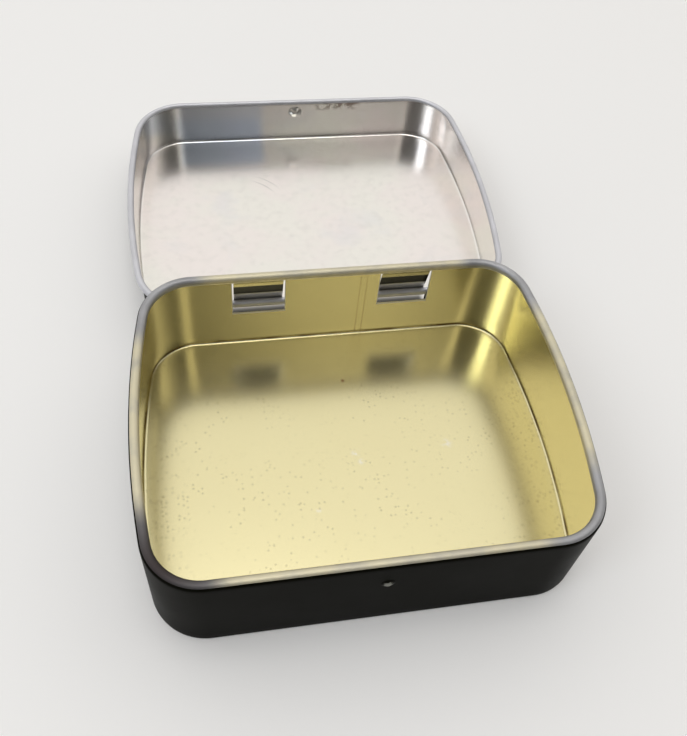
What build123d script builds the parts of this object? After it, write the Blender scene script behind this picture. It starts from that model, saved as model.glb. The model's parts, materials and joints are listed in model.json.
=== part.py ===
"""A small hinged pressed-tinplate case: a drawn tray and a drawn lid, joined by two tongues.

Millimetres. The origin is the centre of the tray's underside, X runs along the long side,
Y runs from the front to the hinge, and Z is up. The lid is drawn fully open, lying level
behind the tray with its inside facing up.
"""

import os
from math import asin, atan2, degrees, hypot, sqrt

from build123d import *

# Sheet and outline of the tray
SHEET = 0.25                # thickness of the tinplate
LENGTH = 95.0               # along X, over the middle of the bowed ends
DEPTH = 74.5                # along Y, over the straight long sides
HEIGHT = 26.3               # underside to the top of the rolled rim
CORNER = 12.0               # corner radius in plan
END_RADIUS = 192.0          # the short ends bow outwards on this radius
FOOT_RADIUS = 1.0           # drawn edge between wall and floor, outside
RIM_RADIUS = 1.1            # tray rim, rolled inwards
RIM_TURN = 285.0            # degrees of roll in the tray rim

# Lid
LID_GAP = 0.22              # lid skirt to tray wall, at the back and the ends
SWING_SLACK = 0.85          # extra room at the front, for the skirt to swing past the rim
LID_REST = 0.1              # tray rim to lid panel when shut
LID_EDGE_RADIUS = 1.0       # drawn edge between panel and skirt, outside
BEAD_RADIUS = 0.85          # lid rim, rolled outwards, also the hinge's pin
BEAD_TURN = 285.0           # degrees of roll in the lid rim

# Hinge: the lid's bead turns in two tongues pressed out of the tray's back wall
HINGE_Z = 13.5              # height of the hinge axis
HINGE_SPACING = 35.9        # between the middles of the two tongues
WINDOW_WIDTH = 12.6         # opening left in the tray by each tongue
WINDOW_BOTTOM = 11.6
WINDOW_TOP = 23.1
TONGUE_WIDTH = 11.9
TONGUE_FIT = 0.08           # tongue to bead, radial
TONGUE_BEND = 0.35          # the tongue stays in the wall this far below the window's top
HOOK_END = -105.0           # the tongue's end, degrees round the bead from the +Y side
LID_SLOT_WIDTH = 13.2       # opening in the lid skirt that the tongue passes through
LID_SLOT_HEIGHT = 10.2

# Snap catch: the lid's bump springs past the tray's bump
CATCH_Z = 18.6              # middle of the tray's bump
CATCH_DROP = 2.3            # the lid's bump sits this far below it when shut
BUMP_RADIUS = 1.1           # of the bump's outline
TRAY_BUMP = 0.55            # height outwards
LID_BUMP = 0.7              # height inwards

# Worked-out places
BACK = DEPTH / 2
HINGE_Y = BACK + LID_GAP + BEAD_RADIUS
CORNER_X = LENGTH / 2 - END_RADIUS + sqrt(END_RADIUS**2 - BACK**2)
LID_OUT = LID_GAP + SHEET                              # tray outline to lid outside
LID_TOP = HEIGHT + LID_REST + SHEET - HINGE_Z          # lid outside above the hinge axis
LID_FRONT = HINGE_Y + BACK + LID_GAP + SWING_SLACK     # axis to the front skirt's inside
OPEN_LID = Plane(origin=(0, HINGE_Y, HINGE_Z), x_dir=(1, 0, 0), z_dir=(0, 0, -1))
SIDE_VIEW = Plane.YZ
HINGE_XS = (-HINGE_SPACING / 2, HINGE_SPACING / 2)


def outline_face(stretch):
    """Plan of the tray; stretch moves its front side forward, away from the hinge."""
    front = -BACK - stretch
    with BuildSketch() as plan:
        with BuildLine():
            Line((CORNER_X, BACK), (-CORNER_X, BACK))
            ThreePointArc((-CORNER_X, BACK), (-LENGTH / 2, -stretch / 2), (-CORNER_X, front))
            Line((-CORNER_X, front), (CORNER_X, front))
            ThreePointArc((CORNER_X, front), (LENGTH / 2, -stretch / 2), (CORNER_X, BACK))
        make_face()
        fillet(plan.vertices(), radius=CORNER)
    return plan.sketch


def dome(height):
    """A low round bump that stands on the XY plane."""
    crown = (BUMP_RADIUS**2 + height**2) / (2 * height)
    with BuildPart() as cap:
        with BuildSketch(Plane.XZ):
            with BuildLine():
                Line((0, 0), (BUMP_RADIUS, 0))
                RadiusArc((BUMP_RADIUS, 0), (0, height), -crown)
                Line((0, height), (0, 0))
            make_face()
        revolve(axis=Axis.Z)
    return cap.part


def roll_section(path, centre, radius, start, turn):
    """Section of a rolled edge at the start of path, which runs counterclockwise.

    In the section x points inwards and y up. The roll starts at the angle start, where it
    meets the wall, and turns clockwise about a centre that far inside the path.
    """
    across = Plane(origin=path @ 0, x_dir=Vector(0, 0, 1).cross(path % 0), z_dir=path % 0)
    with BuildSketch(across) as section:
        with BuildLine():
            skin = CenterArc((centre, 0), radius, start, -turn)
            inside = CenterArc((centre, 0), radius - SHEET, start, -turn)
            Line(skin @ 0, inside @ 0)
            Line(skin @ 1, inside @ 1)
        make_face()
    return section.sketch


# Tray: drawn in one piece, its rim rolled inwards
tray_plan = outline_face(0)
rim_path = tray_plan.face().outer_wire().moved(Location((0, 0, HEIGHT - RIM_RADIUS)))

# Middle line of a tongue: down from the window's top, leaning out, then hooked round the bead
tongue_y = BACK - SHEET / 2
bend_z = WINDOW_TOP - TONGUE_BEND
hook_radius = BEAD_RADIUS + TONGUE_FIT + SHEET / 2
reach = hypot(HINGE_Y - tongue_y, bend_z - HINGE_Z)
lean = degrees(atan2(HINGE_Y - tongue_y, bend_z - HINGE_Z) + asin(hook_radius / reach))
with BuildSketch(SIDE_VIEW) as tongue_section:
    with BuildLine():
        root = Line((tongue_y, WINDOW_TOP + SHEET), (tongue_y, bend_z))
        slope = PolarLine(root @ 1, sqrt(reach**2 - hook_radius**2), lean - 90)
        JernArc(slope @ 1, slope % 1, hook_radius, HOOK_END - lean)
        offset(amount=SHEET / 2, kind=Kind.INTERSECTION, mode=Mode.REPLACE)
    make_face()

with BuildPart() as tray:
    with BuildSketch():
        add(tray_plan)
    extrude(amount=HEIGHT - RIM_RADIUS)
    fillet(tray.faces().sort_by(Axis.Z)[0].edges(), radius=FOOT_RADIUS)
    offset(amount=-SHEET, openings=tray.faces().sort_by(Axis.Z)[-1])
    sweep(roll_section(rim_path, RIM_RADIUS, RIM_RADIUS, 180, RIM_TURN), path=rim_path)

    # Hinge windows, and the tongues pressed out of them
    with Locations(*[(x, tongue_y, (WINDOW_BOTTOM + WINDOW_TOP) / 2) for x in HINGE_XS]):
        Box(WINDOW_WIDTH, 2 * SHEET, WINDOW_TOP - WINDOW_BOTTOM, mode=Mode.SUBTRACT)
    with Locations(*[(x, 0, 0) for x in HINGE_XS]):
        add(extrude(tongue_section.sketch, amount=TONGUE_WIDTH / 2, both=True, mode=Mode.PRIVATE))

    # Catch: a bump pressed outwards in the front wall
    with Locations(Location((0, -BACK, CATCH_Z), (90, 0, 0))):
        add(dome(TRAY_BUMP))
    with Locations(Location((0, SHEET - BACK, CATCH_Z), (90, 0, 0))):
        add(dome(TRAY_BUMP), mode=Mode.SUBTRACT)

# Lid, drawn shut, with its origin on the hinge axis; its rim is rolled outwards
lid_plan = outline_face(SWING_SLACK)
with BuildSketch() as lid_outside:
    with Locations((0, -HINGE_Y)):
        add(lid_plan)
    offset(amount=LID_OUT)
with BuildSketch() as lid_inside:
    with Locations((0, -HINGE_Y)):
        add(lid_plan)
    offset(amount=LID_GAP)
bead_path = lid_inside.sketch.face().outer_wire()

with BuildPart() as shut_lid:
    add(lid_outside.sketch)
    extrude(amount=LID_TOP)
    fillet(shut_lid.faces().sort_by(Axis.Z)[-1].edges(), radius=LID_EDGE_RADIUS)
    offset(amount=-SHEET, openings=shut_lid.faces().sort_by(Axis.Z)[0])
    sweep(roll_section(bead_path, -BEAD_RADIUS, BEAD_RADIUS, 0, BEAD_TURN), path=bead_path)

    # Slots in the back skirt, where the tray's tongues come through to the bead
    with Locations(*[(x, SHEET / 2 - BEAD_RADIUS, 0) for x in HINGE_XS]):
        Box(LID_SLOT_WIDTH, 2 * SHEET, LID_SLOT_HEIGHT, align=(Align.CENTER, Align.CENTER, Align.MIN),
            mode=Mode.SUBTRACT)

    # Catch: a bump pressed inwards in the front skirt
    with Locations(Location((0, -LID_FRONT, CATCH_Z - CATCH_DROP - HINGE_Z), (-90, 0, 0))):
        add(dome(LID_BUMP))
    with Locations(Location((0, -LID_FRONT - SHEET, CATCH_Z - CATCH_DROP - HINGE_Z), (-90, 0, 0))):
        add(dome(LID_BUMP), mode=Mode.SUBTRACT)

# The same lid, turned half a turn about the hinge axis, so that it lies open
with BuildPart() as lid:
    with Locations(OPEN_LID.location):
        add(shut_lid.part)

os.makedirs("parts", exist_ok=True)
tray.part.label = "tray"
lid.part.label = "lid"
export_step(tray.part, "parts/tray.step")
export_step(lid.part, "parts/lid.step")
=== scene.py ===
"""Looks for the hinged tin case: drawn sheet-metal pieces, enamel, lacquer and bare tinplate.

Metres, in the frame of the CAD model. The lid lies open behind the tray.
"""

import json
from math import asin, atan2, cos, hypot, pi, radians, sin, sqrt

import bpy
from mathutils import Matrix, Vector, noise


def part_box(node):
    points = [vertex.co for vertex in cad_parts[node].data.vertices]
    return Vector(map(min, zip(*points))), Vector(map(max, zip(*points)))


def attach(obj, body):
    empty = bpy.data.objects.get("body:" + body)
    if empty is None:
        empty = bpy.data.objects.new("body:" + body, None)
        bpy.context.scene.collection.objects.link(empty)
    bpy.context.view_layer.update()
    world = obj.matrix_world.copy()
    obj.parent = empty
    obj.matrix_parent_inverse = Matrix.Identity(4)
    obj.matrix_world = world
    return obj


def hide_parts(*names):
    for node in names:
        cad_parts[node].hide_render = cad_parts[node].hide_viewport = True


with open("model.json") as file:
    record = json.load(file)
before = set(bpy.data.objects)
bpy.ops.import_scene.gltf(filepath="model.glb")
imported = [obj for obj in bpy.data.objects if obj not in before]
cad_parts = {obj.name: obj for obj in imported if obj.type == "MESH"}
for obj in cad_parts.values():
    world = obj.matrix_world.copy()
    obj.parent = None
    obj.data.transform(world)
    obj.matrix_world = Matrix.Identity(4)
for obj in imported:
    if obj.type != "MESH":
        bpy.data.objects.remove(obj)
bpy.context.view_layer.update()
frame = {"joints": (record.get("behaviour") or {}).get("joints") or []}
MM = 0.001

# ---------------------------------------------------------------- sizes, from the frame
tray_low, tray_high = (Vector(corner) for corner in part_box("tray"))
lid_low, lid_high = (Vector(corner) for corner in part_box("lid"))
hinge = Vector(frame["joints"][0]["pos_m"])

TRAY_BUMP = 0.55 * MM                      # height of the catch bump, outwards
LID_BUMP = 0.7 * MM                        # height of the catch bump, inwards
SHEET = 0.25 * MM
LENGTH = tray_high.x - tray_low.x
HEIGHT = tray_high.z - tray_low.z
DEPTH = -2 * (tray_low.y + TRAY_BUMP)      # the tray's bump stands out of its front
BACK = DEPTH / 2
CORNER = 12 * MM
END_RADIUS = 192 * MM
FOOT_RADIUS = 1 * MM
RIM_RADIUS = 1.1 * MM
BEAD_RADIUS = lid_high.z - hinge.z
ROLL_TURN = radians(285)
LID_GAP = hinge.y - BACK - BEAD_RADIUS
LID_BOTTOM = lid_low.z
SWING_SLACK = 0.85 * MM
LID_EDGE_RADIUS = 1 * MM
HINGE_X = 17.95 * MM                       # middle of a tongue, from the middle of the case
WINDOW_WIDTH = 12.6 * MM
WINDOW_LOW = 11.6 * MM
WINDOW_HIGH = 23.1 * MM
TONGUE_WIDTH = 11.9 * MM
TONGUE_FIT = 0.08 * MM                     # tongue to bead, radial
TONGUE_BEND = 0.35 * MM                    # straight part of a tongue, below the window's top
HOOK_END = radians(-105)
SLOT_WIDTH = 13.2 * MM
SLOT_HEIGHT = 10.2 * MM
CATCH_Z = 18.6 * MM
CATCH_DROP = 2.3 * MM
TRAY_BUMP_REACH = 1.5 * MM                 # radius of a bump's soft foot
LID_BUMP_REACH = 2.0 * MM
BUMP_POWER = 1.6                           # how fast a bump falls away to its foot

# ---------------------------------------------------------------- fineness of the meshes
FINE_STEP = 0.13 * MM                      # round the bumps
EDGE_STEP = 1 * MM                         # along the bowed ends, and just under the rims
LONG_STEP = 1.2 * MM                       # along the straight sides
WALL_STEP = 1.5 * MM                       # up the walls
BUMP_MARGIN = 0.1 * MM                     # fine mesh past a bump's foot
CORNER_STEP = radians(4)
ROLL_STEP = radians(15)
HOOK_STEP = radians(12)
SHARP_ANGLE = radians(42)
LIP_POINTS = 3                             # points of the tray's roll still under enamel
TONGUE_ROWS = 8
PANEL_ROWS = 30
PANEL_WAVE = 0.03 * MM                     # unevenness of the flat panels
PANEL_DENT = 22 * MM                       # and how far across its dents are

# ---------------------------------------------------------------- camera
VIEW_TARGET = Vector((8.18 * MM, 41.7 * MM, 0))
VIEW_AZIMUTH = radians(-15.1)
VIEW_ELEVATION = radians(50.99)
VIEW_ROLL = radians(7.62)
VIEW_DISTANCE = 225.4 * MM
LENS = 41.58                               # in millimetres, like SENSOR
SENSOR = 36
SHIFT = (-0.0175, -0.068)

# ---------------------------------------------------------------- stage and light
FLOOR_SIZE = 60
FLOOR_DROP = 0.02 * MM                     # floor to the underside of the case
FRONT_GLOW = 0.06
BACK_GLOW = 0.94
TOP_GLOW = 3.5
PATCH_GLOW = 0.95
HORIZON_GLOW = 0.85
WORLD_COLOR = (1.0, 0.985, 0.96, 1)
WINDOW_DIRECTION = (-0.60, -0.29, 0.70)
WINDOW_SIZE = (0.32, 0.40)
WINDOW_STRENGTH = 3.2
WINDOW_COLOR = (0.84, 0.92, 1.0)

# ---------------------------------------------------------------- colors
FLOOR_CARD = (0.80, 0.79, 0.78, 1)
FLOOR_GLOW = (1.0, 0.99, 0.97, 1)
GOLD_DEEP = (0.805, 0.73, 0.43, 1)
GOLD_PALE = (0.825, 0.755, 0.455, 1)
# painted shade: darkens the whole of each tongue
GOLD_PAINTED_SHADE = (0.20, 0.175, 0.08, 1)
GOLD_RUBBED = (0.66, 0.61, 0.45, 1)
PRESS_LINE = (0.62, 0.52, 0.26, 1)
SCUFF = (0.84, 0.82, 0.78, 1)
SPECK = (0.24, 0.17, 0.07, 1)
STAIN = (0.13, 0.07, 0.02, 1)
RUST = (0.30, 0.07, 0.02, 1)
# painted shade: the black band on the tongues
PAINTED_SHADE_BLACK = (0.004, 0.004, 0.003, 1)
TONGUE_BARE = (0.88, 0.86, 0.82, 1)
TRIM_BARE = (0.86, 0.82, 0.70, 1)
ENAMEL_DEEP = (0.0018, 0.0018, 0.0008, 1)
ENAMEL_PALE = (0.0034, 0.0033, 0.0016, 1)
ENAMEL_SHINE = (1.0, 1.0, 0.7, 1)
# grey spot on the catch: partly a chip, partly a painted highlight
CHIP_AND_HIGHLIGHT = (0.26, 0.26, 0.23, 1)
TIN_COOL = (0.87, 0.85, 0.795, 1)
TIN_WARM = (0.885, 0.83, 0.80, 1)
TIN_BLUE = (0.74, 0.75, 0.78, 1)
TIN_DULL = (0.66, 0.64, 0.60, 1)
TIN_SCRATCH = (0.42, 0.41, 0.38, 1)
# painted reflection on the lid's far wall
TIN_PAINTED_REFLECTION = (0.62, 0.70, 0.84, 1)
TIN_RUST = (0.20, 0.12, 0.08, 1)
# painted shade inside the slots
TIN_PAINTED_SHADE = (0.03, 0.028, 0.024, 1)
# darkens the front left corner of the tray's rim
RIM_DARKENED = (0.06, 0.05, 0.05, 1)
CUT_DEEP = (0.40, 0.38, 0.33, 1)
CUT_PALE = (0.75, 0.72, 0.64, 1)


def make_camera():
    """The camera, placed by the azimuth, elevation, roll and distance above."""
    data = bpy.data.cameras.new("camera")
    data.lens = LENS
    data.sensor_width = SENSOR
    data.shift_x, data.shift_y = SHIFT
    data.clip_start = 0.01
    camera = bpy.data.objects.new("camera", data)
    bpy.context.scene.collection.objects.link(camera)
    back = Vector((
        sin(VIEW_AZIMUTH) * cos(VIEW_ELEVATION),
        -cos(VIEW_AZIMUTH) * cos(VIEW_ELEVATION),
        sin(VIEW_ELEVATION),
    ))
    turn = back.to_track_quat("Z", "Y").to_matrix() @ Matrix.Rotation(VIEW_ROLL, 3, "Z")
    camera.matrix_world = Matrix.Translation(VIEW_TARGET + back * VIEW_DISTANCE) @ turn.to_4x4()
    bpy.context.scene.camera = camera
    bpy.context.scene.view_settings.view_transform = "Standard"


# ---------------------------------------------------------------- the stage and its light
def make_stage():
    """A plain pale floor that runs far past the view."""
    bpy.ops.mesh.primitive_plane_add(size=FLOOR_SIZE)
    floor = bpy.context.object
    floor.name = "floor"
    floor.location.z = -FLOOR_DROP
    material, tree, shader = new_material("floor_card")
    grain = make(tree, "TexNoise", {"Vector": place(tree), "Scale": 900.0, "Detail": 3.0})
    shader.inputs["Base Color"].default_value = FLOOR_CARD
    shader.inputs["Emission Color"].default_value = FLOOR_GLOW
    shader.inputs["Emission Strength"].default_value = 0.15
    shader.inputs["Roughness"].default_value = 0.85
    shader.inputs["Specular IOR Level"].default_value = 0.2
    bump(tree, shader, grain.outputs["Fac"], 0.15, 0.1 * MM)
    floor.data.materials.append(material)


def make_lamp(name, toward, size, strength, color):
    """A soft oblong lamp 1 m from the case in a direction, its power in proportion to its area."""
    data = bpy.data.lights.new(name, "AREA")
    data.shape = "RECTANGLE"
    data.size, data.size_y = size
    data.energy = strength * pi * data.size * data.size_y
    data.color = color
    lamp = bpy.data.objects.new(name, data)
    bpy.context.scene.collection.objects.link(lamp)
    direction = Vector(toward).normalized()
    lamp.location = Vector((0, 0.04, 0)) + direction
    lamp.rotation_euler = direction.to_track_quat("Z", "Y").to_euler()


def make_light():
    """A soft room: bright behind and overhead, dim in front but for a patch, and one window."""
    world = bpy.data.worlds.new("studio")
    bpy.context.scene.world = world
    world.use_nodes = True
    tree = world.node_tree
    background = tree.nodes["Background"]
    direction = make(tree, "TexCoord").outputs["Generated"]
    axes = make(tree, "SeparateXYZ", {"Vector": direction})
    backward = ramp(tree, axes.outputs["Y"], -0.55, 0.30, FRONT_GLOW, BACK_GLOW)
    overhead = ramp(tree, axes.outputs["Z"], 0.94, 0.985, 0.0, TOP_GLOW)
    ahead = maths(tree, "LESS_THAN", axes.outputs["Y"], 0.0)
    across = band(tree, axes.outputs["X"], 0.10, 0.22, 0.08)
    height = band(tree, axes.outputs["Z"], 0.60, 0.80, 0.10)
    patch = times(tree, across, height, ahead, PATCH_GLOW)
    backward = maths(tree, "ADD", backward, patch)
    horizon = ramp(tree, axes.outputs["Z"], 0.10, 0.30, HORIZON_GLOW, 0.0)
    strength = maths(tree, "MAXIMUM", maths(tree, "MAXIMUM", backward, overhead), horizon)
    background.inputs["Color"].default_value = WORLD_COLOR
    tree.links.new(strength, background.inputs["Strength"])
    make_lamp("left_window", WINDOW_DIRECTION, WINDOW_SIZE, WINDOW_STRENGTH, WINDOW_COLOR)


# ---------------------------------------------------------------- shader helpers
def make(tree, kind, inputs=None, **settings):
    """A shader node. Each input is a value, or the output socket of another node."""
    node = tree.nodes.new("ShaderNode" + kind)
    for name, value in settings.items():
        setattr(node, name, value)
    for name, value in (inputs or {}).items():
        if isinstance(value, bpy.types.NodeSocket):
            tree.links.new(value, node.inputs[name])
        else:
            node.inputs[name].default_value = value
    return node


def new_material(name):
    """An empty material with its tree and its shader."""
    material = bpy.data.materials.new(name)
    material.use_nodes = True
    return material, material.node_tree, material.node_tree.nodes["Principled BSDF"]


def place(tree):
    """Where a point is on the case at rest, in metres."""
    return make(tree, "TexCoord").outputs["Object"]


def maths(tree, operation, first, second=0.0):
    """The result of a sum on numbers or sockets."""
    return make(tree, "Math", {0: first, 1: second}, operation=operation).outputs[0]


def ramp(tree, value, low, high, start=0.0, end=1.0):
    """start where value is at low, end where it is at high, with a smooth run between."""
    limits = {"Value": value, "From Min": low, "From Max": high, "To Min": start, "To Max": end}
    return make(tree, "MapRange", limits, interpolation_type="SMOOTHSTEP").outputs["Result"]


def blend(tree, amount, first, second):
    """A colour between first and second, by amount."""
    node = make(tree, "Mix", data_type="RGBA")
    for socket, value in ((node.inputs[0], amount), (node.inputs[6], first), (node.inputs[7], second)):
        if isinstance(value, bpy.types.NodeSocket):
            tree.links.new(value, socket)
        else:
            socket.default_value = value
    return node.outputs[2]


def shifted(tree, shift):
    """The place on the case, moved along, so that a second noise differs from the first."""
    inputs = {"Vector": place(tree), "Location": (shift, shift, shift)}
    return make(tree, "Mapping", inputs).outputs["Vector"]


def times(tree, *values):
    """The product of numbers or sockets."""
    product = values[0]
    for value in values[1:]:
        product = maths(tree, "MULTIPLY", product, value)
    return product


def tinted(tree, color, *layers):
    """A colour with layers over it, each given as (mask, strength, tint)."""
    for mask, strength, tint in layers:
        color = blend(tree, times(tree, mask, strength), color, tint)
    return color


def above(tree, value, limit):
    """1 where value is above limit, else 0."""
    return maths(tree, "GREATER_THAN", value, limit)


def band(tree, value, low, high, soft):
    """1 where value is from low to high, fading to 0 over soft on both sides."""
    return times(tree, ramp(tree, value, low - soft, low), ramp(tree, value, high + soft, high))


def cloud(tree, vector, scale, detail=3.0, roughness=0.5):
    """Soft noise from 0 to 1."""
    inputs = {"Vector": vector, "Scale": scale, "Detail": detail, "Roughness": roughness}
    return make(tree, "TexNoise", inputs).outputs["Fac"]


def near(tree, point, reach):
    """1 at a point on the case, falling to 0 at reach from it."""
    gap = make(tree, "VectorMath", {0: place(tree), 1: point}, operation="DISTANCE")
    return ramp(tree, gap.outputs["Value"], 0.0, reach, 1.0, 0.0)


def bump(tree, shader, height, strength, distance):
    """Small relief on a shader."""
    relief = make(tree, "Bump", {"Height": height, "Strength": strength, "Distance": distance})
    tree.links.new(relief.outputs["Normal"], shader.inputs["Normal"])


# ---------------------------------------------------------------- materials
def metal(name, roughness):
    """A metallic material whose roughness is fixed on its shader."""
    material, tree, shader = new_material(name)
    shader.inputs["Metallic"].default_value = 1.0
    shader.inputs["Roughness"].default_value = roughness
    return material, tree, shader


def from_hinge_middle(tree, x):
    """How far a point is to the side of the nearer tongue's middle."""
    side = maths(tree, "SUBTRACT", maths(tree, "ABSOLUTE", x), HINGE_X)
    return maths(tree, "ABSOLUTE", side)


def tongue_area(tree, x, y, z):
    """1 on the two tongues."""
    across = maths(tree, "LESS_THAN", from_hinge_middle(tree, x), TONGUE_WIDTH / 2 + 0.05 * MM)
    behind = above(tree, y, BACK - 0.6 * MM)
    heights = band(tree, z, WINDOW_LOW, WINDOW_HIGH - 0.2 * MM, 0.2 * MM)
    return times(tree, across, behind, heights)


def window_trim(tree, x, y, z):
    """1 in a narrow band round each hinge window, where the press has bared the metal."""
    sides = band(tree, from_hinge_middle(tree, x), 0, WINDOW_WIDTH / 2 + 0.12 * MM, 0.1 * MM)
    heights = band(tree, z, WINDOW_LOW - 0.5 * MM, WINDOW_HIGH, 0.15 * MM)
    on_wall = band(tree, y, BACK - 0.6 * MM, BACK + 0.05 * MM, 0.05 * MM)
    off_tongue = maths(tree, "SUBTRACT", 1.0, tongue_area(tree, x, y, z))
    return times(tree, sides, heights, on_wall, off_tongue)


def lacquer_wear(tree, x, z):
    """Brown stain in the fold of the floor, and spots near it at the short ends."""
    fold = band(tree, z, 0.46 * MM, 0.85 * MM, 0.1 * MM)
    patchy = ramp(tree, cloud(tree, place(tree), 110.0), 0.42, 0.62, 0.35, 1.0)
    low = band(tree, z, 0.2 * MM, 4 * MM, 1.5 * MM)
    end = ramp(tree, maths(tree, "ABSOLUTE", x), 34 * MM, 43 * MM)
    spots = times(tree, end, low, dots(tree, 800.0, 0.25, 0.6), 0.13)
    return maths(tree, "MAXIMUM", times(tree, fold, patchy), spots)


def dots(tree, scale, size, share):
    """1 in small round dots, in a share of the cells of a random pattern."""
    cells = make(tree, "TexVoronoi", {"Vector": place(tree), "Scale": scale})
    round_dots = ramp(tree, cells.outputs["Distance"], size, 1.5 * size, 1.0, 0.0)
    chosen = make(tree, "SeparateColor", {"Color": cells.outputs["Color"]}).outputs[0]
    return times(tree, round_dots, maths(tree, "LESS_THAN", chosen, share))


def lacquer_specks(tree):
    """Small dark specks, thicker in some places than in others."""
    thick = ramp(tree, cloud(tree, shifted(tree, 3.0), 40.0), 0.42, 0.60, 0.25, 1.0)
    fine = times(tree, dots(tree, 900.0, 0.20, 0.45), thick)
    return maths(tree, "MAXIMUM", fine, dots(tree, 330.0, 0.055, 0.1))


def press_lines(tree, x, y):
    """Two faint upright lines left by the press in the back wall."""
    first = band(tree, x, 6.7 * MM, 6.9 * MM, 0.15 * MM)
    second = band(tree, x, 8.3 * MM, 8.5 * MM, 0.15 * MM)
    return times(tree, maths(tree, "MAXIMUM", first, second), above(tree, y, BACK - 1.5 * MM))


def scuffs(tree):
    """Pale rubbed spots on the tray's floor, at (x, y) with a reach, in millimetres."""
    spots = 0.0
    for x, y, reach in ((1.5, 1.5, 1.6), (2.5, -1.0, 1.2), (23.5, 1.5, 2.0), (-9.0, -12.0, 1.0)):
        spot = near(tree, (x * MM, y * MM, SHEET), reach * MM)
        spots = maths(tree, "MAXIMUM", spots, spot)
    return times(tree, spots, ramp(tree, cloud(tree, place(tree), 700.0, 4.0), 0.42, 0.6))


def tongue_painted_shade(tree, x, y, z):
    """1 on the band of the tongues where black shade is painted."""
    heights = band(tree, z, hinge.z + 3.7 * MM, hinge.z + 6.8 * MM, 0.4 * MM)
    return times(tree, tongue_area(tree, x, y, z), heights)


def tongue_colors(tree, x, y, z, color):
    """The tongues: painted darker as shade at the root, painted black shade in a band above the bead,
    rubbed bare at the bead.
    """
    area = tongue_area(tree, x, y, z)
    rubbed = ramp(tree, z, hinge.z + 3.7 * MM, hinge.z + 3.2 * MM)
    return tinted(
        tree, color,
        # painted shade: the whole tongue is darkened
        (area, 0.85, GOLD_PAINTED_SHADE),
        (tongue_painted_shade(tree, x, y, z), 1.0, PAINTED_SHADE_BLACK),
        (area, rubbed, TONGUE_BARE),
    )


def gold_lacquer():
    """Tinplate under clear gold lacquer: satin, with specks, brown stains, bare trim and painted shade
    on the tongues.
    """
    material, tree, shader = metal("gold_lacquer", 0.24)
    x, y, z = make(tree, "SeparateXYZ", {"Vector": place(tree)}).outputs
    color = tinted(
        tree, blend(tree, cloud(tree, place(tree), 55.0), GOLD_DEEP, GOLD_PALE),
        (press_lines(tree, x, y), 0.6, PRESS_LINE),
        (scuffs(tree), 0.5, SCUFF),
        (lacquer_specks(tree), 0.22, SPECK),
        (lacquer_wear(tree, x, z), 0.8, STAIN),
        (near(tree, (1.5 * MM, 22 * MM, SHEET), 0.7 * MM), 0.8, RUST),
    )
    trim = window_trim(tree, x, y, z)
    color = tinted(tree, tongue_colors(tree, x, y, z, color), (trim, 1.0, TRIM_BARE))
    tree.links.new(color, shader.inputs["Base Color"])
    # metal is turned off where the tongues' black shade is painted, and mostly off on the bare trim
    dull = maths(tree, "MAXIMUM", tongue_painted_shade(tree, x, y, z), times(tree, trim, 0.8))
    tree.links.new(maths(tree, "SUBTRACT", 1.0, dull), shader.inputs["Metallic"])
    shader.inputs["Specular IOR Level"].default_value = 0.03
    shader.inputs["Coat Weight"].default_value = 0.12
    shader.inputs["Coat Roughness"].default_value = 0.22
    bump(tree, shader, cloud(tree, place(tree), 1400.0, 3.0), 0.12, 0.015 * MM)
    return material


def black_enamel():
    """Baked black enamel, slightly uneven, with a grey spot on the tray's catch that is partly a chip
    and partly a painted highlight.
    """
    material, tree, shader = new_material("black_enamel")
    patches = cloud(tree, place(tree), 70.0)
    # partly a chip, partly a painted highlight: the grey spot on the tray's catch
    chip_and_highlight = near(tree, (0, tray_low.y, CATCH_Z), 2.2 * MM)
    chip_and_highlight = ramp(tree, maths(tree, "ADD", chip_and_highlight, cloud(tree, place(tree), 1500.0)), 0.95, 1.3)
    color = tinted(tree, blend(tree, patches, ENAMEL_DEEP, ENAMEL_PALE), (chip_and_highlight, 1.0, CHIP_AND_HIGHLIGHT))
    tree.links.new(color, shader.inputs["Base Color"])
    tree.links.new(ramp(tree, patches, 0.3, 0.7, 0.36, 0.41), shader.inputs["Roughness"])
    shader.inputs["Specular IOR Level"].default_value = 0.05
    shader.inputs["IOR"].default_value = 1.25
    shader.inputs["Specular Tint"].default_value = ENAMEL_SHINE
    bump(tree, shader, cloud(tree, place(tree), 500.0, 2.0), 0.12, 0.05 * MM)
    return material


def hinge_painted_shade(tree, x, y):
    """Painted shade on the lid's panel just inside the slots."""
    across = band(tree, from_hinge_middle(tree, x), 0, 8 * MM, 2 * MM)
    return times(tree, across, ramp(tree, y, hinge.y + 11 * MM, hinge.y + 8 * MM))


def lid_scratches(tree):
    """Two short curved scratches on the lid's panel."""
    middle = (-20 * MM, 84 * MM, 0.0)
    away = make(tree, "VectorMath", {0: place(tree), 1: middle}, operation="DISTANCE")
    arcs = 0.0
    for radius in (13.0 * MM, 15.2 * MM):
        line = band(tree, away.outputs["Value"], radius, radius + 0.15 * MM, 0.15 * MM)
        arcs = maths(tree, "MAXIMUM", arcs, line)
    return times(tree, arcs, near(tree, (-11 * MM, 94.5 * MM, 0.6 * MM), 6 * MM))


def rim_rust(tree, x, y, z):
    """Brown specks under the lid's far rim, a little to one side of the catch."""
    along = band(tree, x, 8 * MM, 18 * MM, 3 * MM)
    far = above(tree, y, lid_high.y - 8 * MM)
    high = ramp(tree, z, hinge.z - 3.2 * MM, hinge.z - 0.6 * MM)
    flecks = ramp(tree, cloud(tree, place(tree), 650.0, 4.0), 0.46, 0.6)
    return times(tree, along, far, high, flecks)


def far_wall_painted_reflection(tree, x, y):
    """1 along the left of the lid's far wall, where a cool reflection is painted."""
    along = band(tree, x, -33 * MM, -12 * MM, 4 * MM)
    return times(tree, along, ramp(tree, y, lid_high.y - 15 * MM, lid_high.y - 10 * MM))


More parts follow.
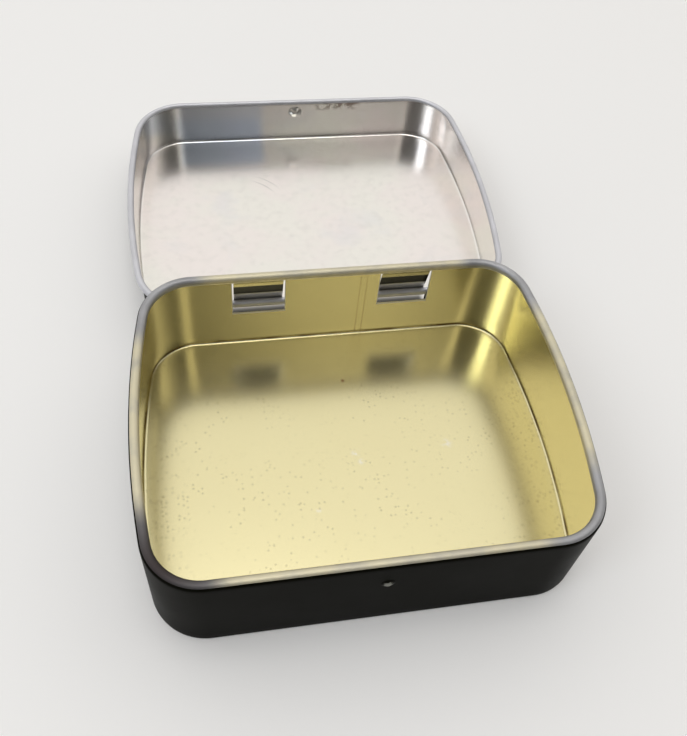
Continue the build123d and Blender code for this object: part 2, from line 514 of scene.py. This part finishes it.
def bare_tin():
    """Bare tinplate, satin and mottled, with scratches, rust by the rim, a painted cool reflection on
    the far wall and painted shade by the hinge.
    """
    material, tree, shader = metal("bare_tin", 0.24)
    x, y, z = make(tree, "SeparateXYZ", {"Vector": place(tree)}).outputs
    warm = ramp(tree, cloud(tree, place(tree), 38.0, 4.0), 0.4, 0.62)
    blue = ramp(tree, cloud(tree, shifted(tree, 9.0), 60.0, 4.0), 0.52, 0.7)
    fine = cloud(tree, place(tree), 420.0, 5.0, 0.65)
    color = tinted(
        tree, blend(tree, warm, TIN_COOL, TIN_WARM),
        (blue, 0.3, TIN_BLUE),
        (ramp(tree, fine, 0.45, 0.75, 0.0, 0.22), 1.0, TIN_DULL),
        (lid_scratches(tree), 0.4, TIN_SCRATCH),
        # painted reflection: a cool tint along the far wall
        (far_wall_painted_reflection(tree, x, y), 0.5, TIN_PAINTED_REFLECTION),
        (rim_rust(tree, x, y, z), 0.75, TIN_RUST),
        # painted shade: darkens the lid's panel inside the slots
        (hinge_painted_shade(tree, x, y), 0.93, TIN_PAINTED_SHADE),
    )
    tree.links.new(color, shader.inputs["Base Color"])
    bump(tree, shader, fine, 0.05, 0.015 * MM)
    return material


def straight_runs(tree, x, y, z):
    """1 on the straight runs of the tray's rim, 0 on its corners and on the lid's rim."""
    along_x = ramp(tree, maths(tree, "ABSOLUTE", x), 34 * MM, 28 * MM)
    along_y = ramp(tree, maths(tree, "ABSOLUTE", y), 24 * MM, 16 * MM)
    return times(tree, maths(tree, "MAXIMUM", along_x, along_y), above(tree, z, 15 * MM))


def rim_metal(name, dark, light, blue):
    """Rolled rims: rubbed grey metal between two greys, whose blue is scaled by blue.

    On the tray, gold lacquer is left on the straight runs, and the front left corner is painted
    darker.
    """
    material, tree, shader = metal(name, 0.55)
    x, y, z = make(tree, "SeparateXYZ", {"Vector": place(tree)}).outputs
    patches = cloud(tree, place(tree), 160.0, 4.0)
    silver = blend(tree, patches, (dark, dark, blue * dark, 1), (light, light, blue * light, 1))
    rubbed = ramp(tree, patches, 0.25, 0.6, 0.55, 1.0)
    color = tinted(
        tree, silver,
        # the front left corner of the tray's rim is painted darker
        (near(tree, (-43 * MM, -33 * MM, HEIGHT), 28 * MM), 1.0, RIM_DARKENED),
        (straight_runs(tree, x, y, z), rubbed, GOLD_RUBBED),
    )
    tree.links.new(color, shader.inputs["Base Color"])
    return material


def cut_steel():
    """Freshly cut sheet edges."""
    material, tree, shader = metal("cut_steel", 0.35)
    color = blend(tree, cloud(tree, place(tree), 400.0), CUT_DEEP, CUT_PALE)
    tree.links.new(color, shader.inputs["Base Color"])
    return material


# ---------------------------------------------------------------- plan of the case
def steps(start, end, size):
    """Even stops from start up to, but not at, end, about size apart."""
    count = max(1, round(abs(end - start) / size))
    return [start + (end - start) * k / count for k in range(count)]


def plan(depth, stops):
    """Points of the plan with their outward normals, counterclockwise, centred on the origin.

    stops are places along the long sides, in order from the corner to the middle, as
    (place, step) pairs; each step is the spacing used from there on.
    """
    half = depth / 2
    corner_x = LENGTH / 2 - END_RADIUS + sqrt(END_RADIUS**2 - BACK**2)
    bow = LENGTH / 2 - corner_x
    end_radius = (half**2 + bow**2) / (2 * bow)
    end_x = LENGTH / 2 - end_radius
    middle_x = end_x + sqrt((end_radius - CORNER) ** 2 - (half - CORNER) ** 2)
    meet = atan2(half - CORNER, middle_x - end_x)
    quarter = []
    for angle in steps(0, meet, EDGE_STEP / end_radius):
        normal = Vector((cos(angle), sin(angle)))
        quarter.append((Vector((end_x, 0)) + end_radius * normal, normal))
    for angle in steps(meet, pi / 2, CORNER_STEP):
        normal = Vector((cos(angle), sin(angle)))
        quarter.append((Vector((middle_x, half - CORNER)) + CORNER * normal, normal))
    edges = [(middle_x, LONG_STEP)] + stops + [(0, LONG_STEP)]
    for (start, step), (end, _) in zip(edges, edges[1:]):
        quarter += [(Vector((x, half)), Vector((0, 1))) for x in steps(start, end, step)]
    quarter.append((Vector((0, half)), Vector((0, 1))))
    flip = Vector((-1, 1))
    upper = quarter + [(p * flip, n * flip) for p, n in reversed(quarter[:-1])]
    turn = Vector((1, -1))
    return upper + [(p * turn, n * turn) for p, n in reversed(upper[1:-1])]


# ---------------------------------------------------------------- sections of the sheet
def arc(center, radius, start, end, step):
    """Points on an arc in a section, both ends included."""
    count = max(2, round(abs(end - start) / step))
    angles = [start + (end - start) * k / count for k in range(count + 1)]
    return [(center[0] + radius * cos(a), center[1] + radius * sin(a)) for a in angles]


def ripple(point, reach):
    """Slight unevenness of drawn sheet, from -1 to 1, with dents about reach across."""
    elsewhere = Vector((7.3, 1.9, 4.1))
    return noise.noise(point / reach + elsewhere)


def cap_height(distance, reach, height):
    """Height of a round bump at a distance from its middle, with a soft foot."""
    if distance >= reach:
        return 0.0
    return height * cos(distance / reach * pi / 2) ** BUMP_POWER


# ---------------------------------------------------------------- drawn pieces
def ring_at(ring, middle, out, up):
    """The plan's ring round middle, moved outwards by out, at the height up."""
    return [Vector((*(middle + spot + out * normal), up)) for spot, normal in ring]


def panel_rows(edge, center):
    """Rows of the flat panel, slightly uneven, from near its center out to its edge."""
    rows = []
    for k in range(1, PANEL_ROWS):
        share = k / PANEL_ROWS
        wave = PANEL_WAVE * (1 - share**4)
        row = [center + share * (corner - center) for corner in edge]
        rows.append([spot + Vector((0, 0, wave * ripple(spot, PANEL_DENT))) for spot in row])
    return rows


def panel_and_profile(ring, middle, profile):
    """Rows of (corners, kind): the flat panel from its middle outwards, then the profile."""
    out, up, _ = profile[0]
    panel = panel_rows(ring_at(ring, middle, out, up), Vector((*middle, up)))
    rows = [(row, "panel") for row in panel]
    return rows + [(ring_at(ring, middle, out, up), kind) for out, up, kind in profile]


def wall_rows(out, low, high, marks):
    """A wall's part of a profile, from low up to high; marks are (height, step from there)."""
    edges = [(low, WALL_STEP)] + marks + [(high, WALL_STEP)]
    rows = []
    for (start, size), (end, _) in zip(edges, edges[1:]):
        rows += [(out, up, "wall") for up in steps(start, end, size)]
    return rows


def faces_between(rows, count, is_open):
    """Faces of the swept rows, and for each a kind: 1 on the rolled rim and 0 elsewhere.

    The first face closes the panel. Wall faces are left out where is_open says so.
    """
    faces = [tuple(reversed(range(count)))]
    kinds = [0]
    for j in range(len(rows) - 1):
        low, high = rows[j][0], rows[j + 1][0]
        rolled = rows[j + 1][1] == "roll"
        for i in range(count):
            following = (i + 1) % count
            middle = (low[i] + high[following]) / 2
            if rows[j][1] == "wall" and not rolled and is_open(middle):
                continue
            corners = (j * count + i, j * count + following)
            faces.append((*corners, corners[1] + count, corners[0] + count))
            kinds.append(int(rolled))
    return faces, kinds


def press(rows, ring, catch, side, reach, height):
    """Moves the wall out (or in, if height is negative) in a round bump on one long side.

    side is 1 for the long side at high Y and -1 for the other; catch is the bump's height.
    """
    way = 1 if height > 0 else -1
    for row, kind in rows:
        if kind != "wall":
            continue
        for corner, (_, normal) in zip(row, ring):
            if normal.y * side < 0.99:
                continue
            depth = cap_height(hypot(corner.x, corner.z - catch), reach, abs(height))
            corner.y += normal.y * depth * way


def as_sheet(name, corners, faces, kinds, finishes):
    """The piece: the outside skin given inwards thickness, its cut edges left sharp.

    finishes are the outside, inside and cut edge, then the same three for the rolled rim.
    """
    mesh = bpy.data.meshes.new(name)
    mesh.from_pydata(corners, [], faces)
    for material in finishes:
        mesh.materials.append(material)
    mesh.polygons.foreach_set("material_index", [3 * kind for kind in kinds])
    skin = bpy.data.objects.new(name + "_skin", mesh)
    bpy.context.scene.collection.objects.link(skin)
    solid = skin.modifiers.new("thickness", "SOLIDIFY")
    solid.thickness = SHEET
    solid.offset = -1
    solid.material_offset = 1
    solid.material_offset_rim = 2
    bpy.context.view_layer.update()
    evaluated = skin.evaluated_get(bpy.context.evaluated_depsgraph_get())
    thick = bpy.data.meshes.new_from_object(evaluated)
    bpy.data.objects.remove(skin)
    thick.shade_smooth()
    thick.set_sharp_from_angle(angle=SHARP_ANGLE)
    piece = bpy.data.objects.new(name, thick)
    bpy.context.scene.collection.objects.link(piece)
    return piece


def tongue_path():
    """The outside of a tongue in section, from the window's top down and round the bead."""
    radius = BEAD_RADIUS + TONGUE_FIT + SHEET
    bend = WINDOW_HIGH - TONGUE_BEND
    across = hinge.y - BACK + SHEET / 2
    along = bend - hinge.z
    lean = atan2(across, along) + asin((radius - SHEET / 2) / hypot(across, along))
    hook = arc((hinge.y, hinge.z), radius, lean, HOOK_END, HOOK_STEP)
    start = Vector((BACK, bend))
    end = Vector(hook[0])
    slope = [tuple(start + (end - start) * k / TONGUE_ROWS) for k in range(TONGUE_ROWS)]
    return slope + hook


def add_tongues(corners, faces, kinds, row, first):
    """Tongues that hang from the row of corners at the windows' top; first is its first index."""
    half = TONGUE_WIDTH / 2 + 0.01 * MM
    for side in (-1, 1):
        columns = [
            i for i, spot in enumerate(row)
            if abs(side * spot.x - HINGE_X) < half and abs(spot.y - BACK) < SHEET
        ]
        upper = [first + i for i in columns]
        for y, z in tongue_path():
            lower = [len(corners) + k for k in range(len(columns))]
            corners += [Vector((row[i].x, y, z)) for i in columns]
            for k in range(len(columns) - 1):
                faces.append((lower[k], lower[k + 1], upper[k + 1], upper[k]))
                kinds.append(0)
            upper = lower


def make_tray(finishes):
    """The tray: floor, wall, inward rim, two hinge windows with tongues, and the catch bump."""
    half = WINDOW_WIDTH / 2
    tongue = TONGUE_WIDTH / 2
    fine = TRAY_BUMP_REACH + BUMP_MARGIN
    ring = plan(DEPTH, [
        (HINGE_X + half, half - tongue), (HINGE_X + tongue, LONG_STEP),
        (HINGE_X - tongue, half - tongue), (HINGE_X - half, LONG_STEP), (fine, FINE_STEP),
    ])
    foot = arc((-FOOT_RADIUS, FOOT_RADIUS), FOOT_RADIUS, -pi / 2, 0, ROLL_STEP)
    roll = arc((-RIM_RADIUS, HEIGHT - RIM_RADIUS), RIM_RADIUS, 0, ROLL_TURN, ROLL_STEP)
    marks = [
        (WINDOW_LOW, WALL_STEP), (CATCH_Z - fine, FINE_STEP),
        (CATCH_Z + fine, WALL_STEP), (WINDOW_HIGH, EDGE_STEP),
    ]
    profile = [(out, up, "edge") for out, up in foot[:-1]]
    profile += wall_rows(0, FOOT_RADIUS, HEIGHT - RIM_RADIUS, marks)
    profile.append((*roll[0], "wall"))
    profile += [(*spot, "lip") for spot in roll[1:LIP_POINTS + 1]]
    profile += [(*spot, "roll") for spot in roll[LIP_POINTS + 1:]]

    def in_window(spot):
        across = abs(abs(spot.x) - HINGE_X) < half
        return spot.y > 0 and across and WINDOW_LOW < spot.z < WINDOW_HIGH

    rows = panel_and_profile(ring, Vector((0, 0)), profile)
    press(rows, ring, CATCH_Z, -1, TRAY_BUMP_REACH, TRAY_BUMP)
    faces, kinds = faces_between(rows, len(ring), in_window)
    corners = [corner for row, _ in rows for corner in row]
    top = min(range(len(rows)), key=lambda j: abs(rows[j][0][0].z - WINDOW_HIGH))
    add_tongues(corners, faces, kinds, rows[top][0], top * len(ring))
    return as_sheet("tray_sheet", corners, faces, kinds, finishes)


def make_lid(finishes):
    """The lid, lying open: panel, skirt, outward rim, two slots and the catch bump."""
    half = SLOT_WIDTH / 2
    fine = LID_BUMP_REACH + BUMP_MARGIN
    out = LID_GAP + SHEET
    ring = plan(DEPTH + SWING_SLACK, [
        (HINGE_X + half, LONG_STEP), (HINGE_X - half, LONG_STEP), (fine, FINE_STEP),
    ])
    middle = Vector((0, 2 * hinge.y + SWING_SLACK / 2))
    catch = 2 * hinge.z - CATCH_Z + CATCH_DROP
    edge_at = (out - LID_EDGE_RADIUS, LID_BOTTOM + LID_EDGE_RADIUS)
    edge = arc(edge_at, LID_EDGE_RADIUS, -pi / 2, 0, ROLL_STEP)
    bead_at = (LID_GAP + BEAD_RADIUS, hinge.z)
    roll = arc(bead_at, BEAD_RADIUS - SHEET, pi, pi - ROLL_TURN, ROLL_STEP)
    marks = [
        (hinge.z - SLOT_HEIGHT, WALL_STEP), (catch - fine, FINE_STEP), (catch + fine, EDGE_STEP),
    ]
    profile = [(*spot, "edge") for spot in edge[:-1]]
    profile += wall_rows(out, edge_at[1], hinge.z, marks)
    profile.append((*roll[0], "wall"))
    profile += [(*spot, "roll") for spot in roll[1:]]

    def in_slot(spot):
        across = abs(abs(spot.x) - HINGE_X) < half
        return spot.y < middle.y and across and spot.z > hinge.z - SLOT_HEIGHT

    rows = panel_and_profile(ring, middle, profile)
    press(rows, ring, catch, 1, LID_BUMP_REACH, -LID_BUMP)
    faces, kinds = faces_between(rows, len(ring), in_slot)
    corners = [corner for row, _ in rows for corner in row]
    return as_sheet("lid_sheet", corners, faces, kinds, finishes)


# ---------------------------------------------------------------- the scene
make_camera()
make_stage()
make_light()

enamel, gold, tin, cut = black_enamel(), gold_lacquer(), bare_tin(), cut_steel()
tray_rim = rim_metal("tray_rim", dark=0.26, light=0.5, blue=1.03)
lid_rim = rim_metal("lid_rim", dark=0.5, light=0.74, blue=1.05)
tray = make_tray((enamel, gold, cut, tray_rim, gold, cut))
lid = make_lid((enamel, tin, cut, enamel, lid_rim, cut))
for piece, body, slot in ((tray, "tray", "tray_lacquered_tin"), (lid, "lid", "lid_bare_tin")):
    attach(piece, body)
    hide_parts(body)
